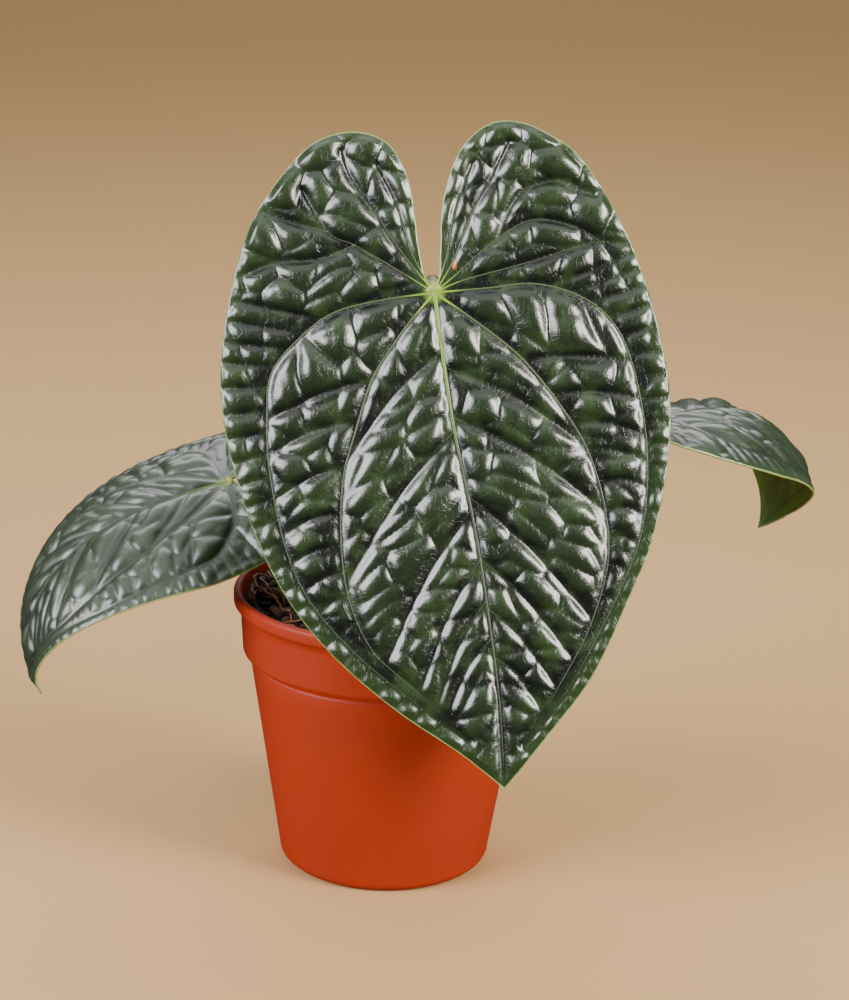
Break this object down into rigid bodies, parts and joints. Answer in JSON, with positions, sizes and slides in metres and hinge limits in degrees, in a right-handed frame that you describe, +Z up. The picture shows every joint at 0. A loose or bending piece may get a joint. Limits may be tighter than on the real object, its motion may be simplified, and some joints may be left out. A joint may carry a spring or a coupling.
{
  "type": "potted anthurium luxurians",
  "caption": "Young aroid house plant in a tapered nursery pot: large hanging heart-shaped leaf with deeply quilted surface, smaller drooping leaves at its sides, dark chunky potting mix.",
  "frame": {"origin": "centre of the pot's underside, on the surface that it stands on", "axes": "+Z up along the pot's axis; the large leaf hangs on the -Y side, the grey leaf reaches to -X"},
  "size_m": [0.3082, 0.1603, 0.2918],
  "materials": {
    "pot": "satin",
    "potting_mix": "matte",
    "stem": "matte",
    "petiole": "satin",
    "blade_dark": "gloss",
    "blade_grey": "satin"
  },
  "bodies": {
    "root": {"pot": "pot", "potting_mix": "potting_mix", "stem": "stem", "petiole_front": "petiole", "petiole_left": "petiole", "petiole_right": "petiole", "blade_front": "blade_dark", "blade_left": "blade_grey", "blade_right": "blade_dark"}
  },
  "joints": []
}
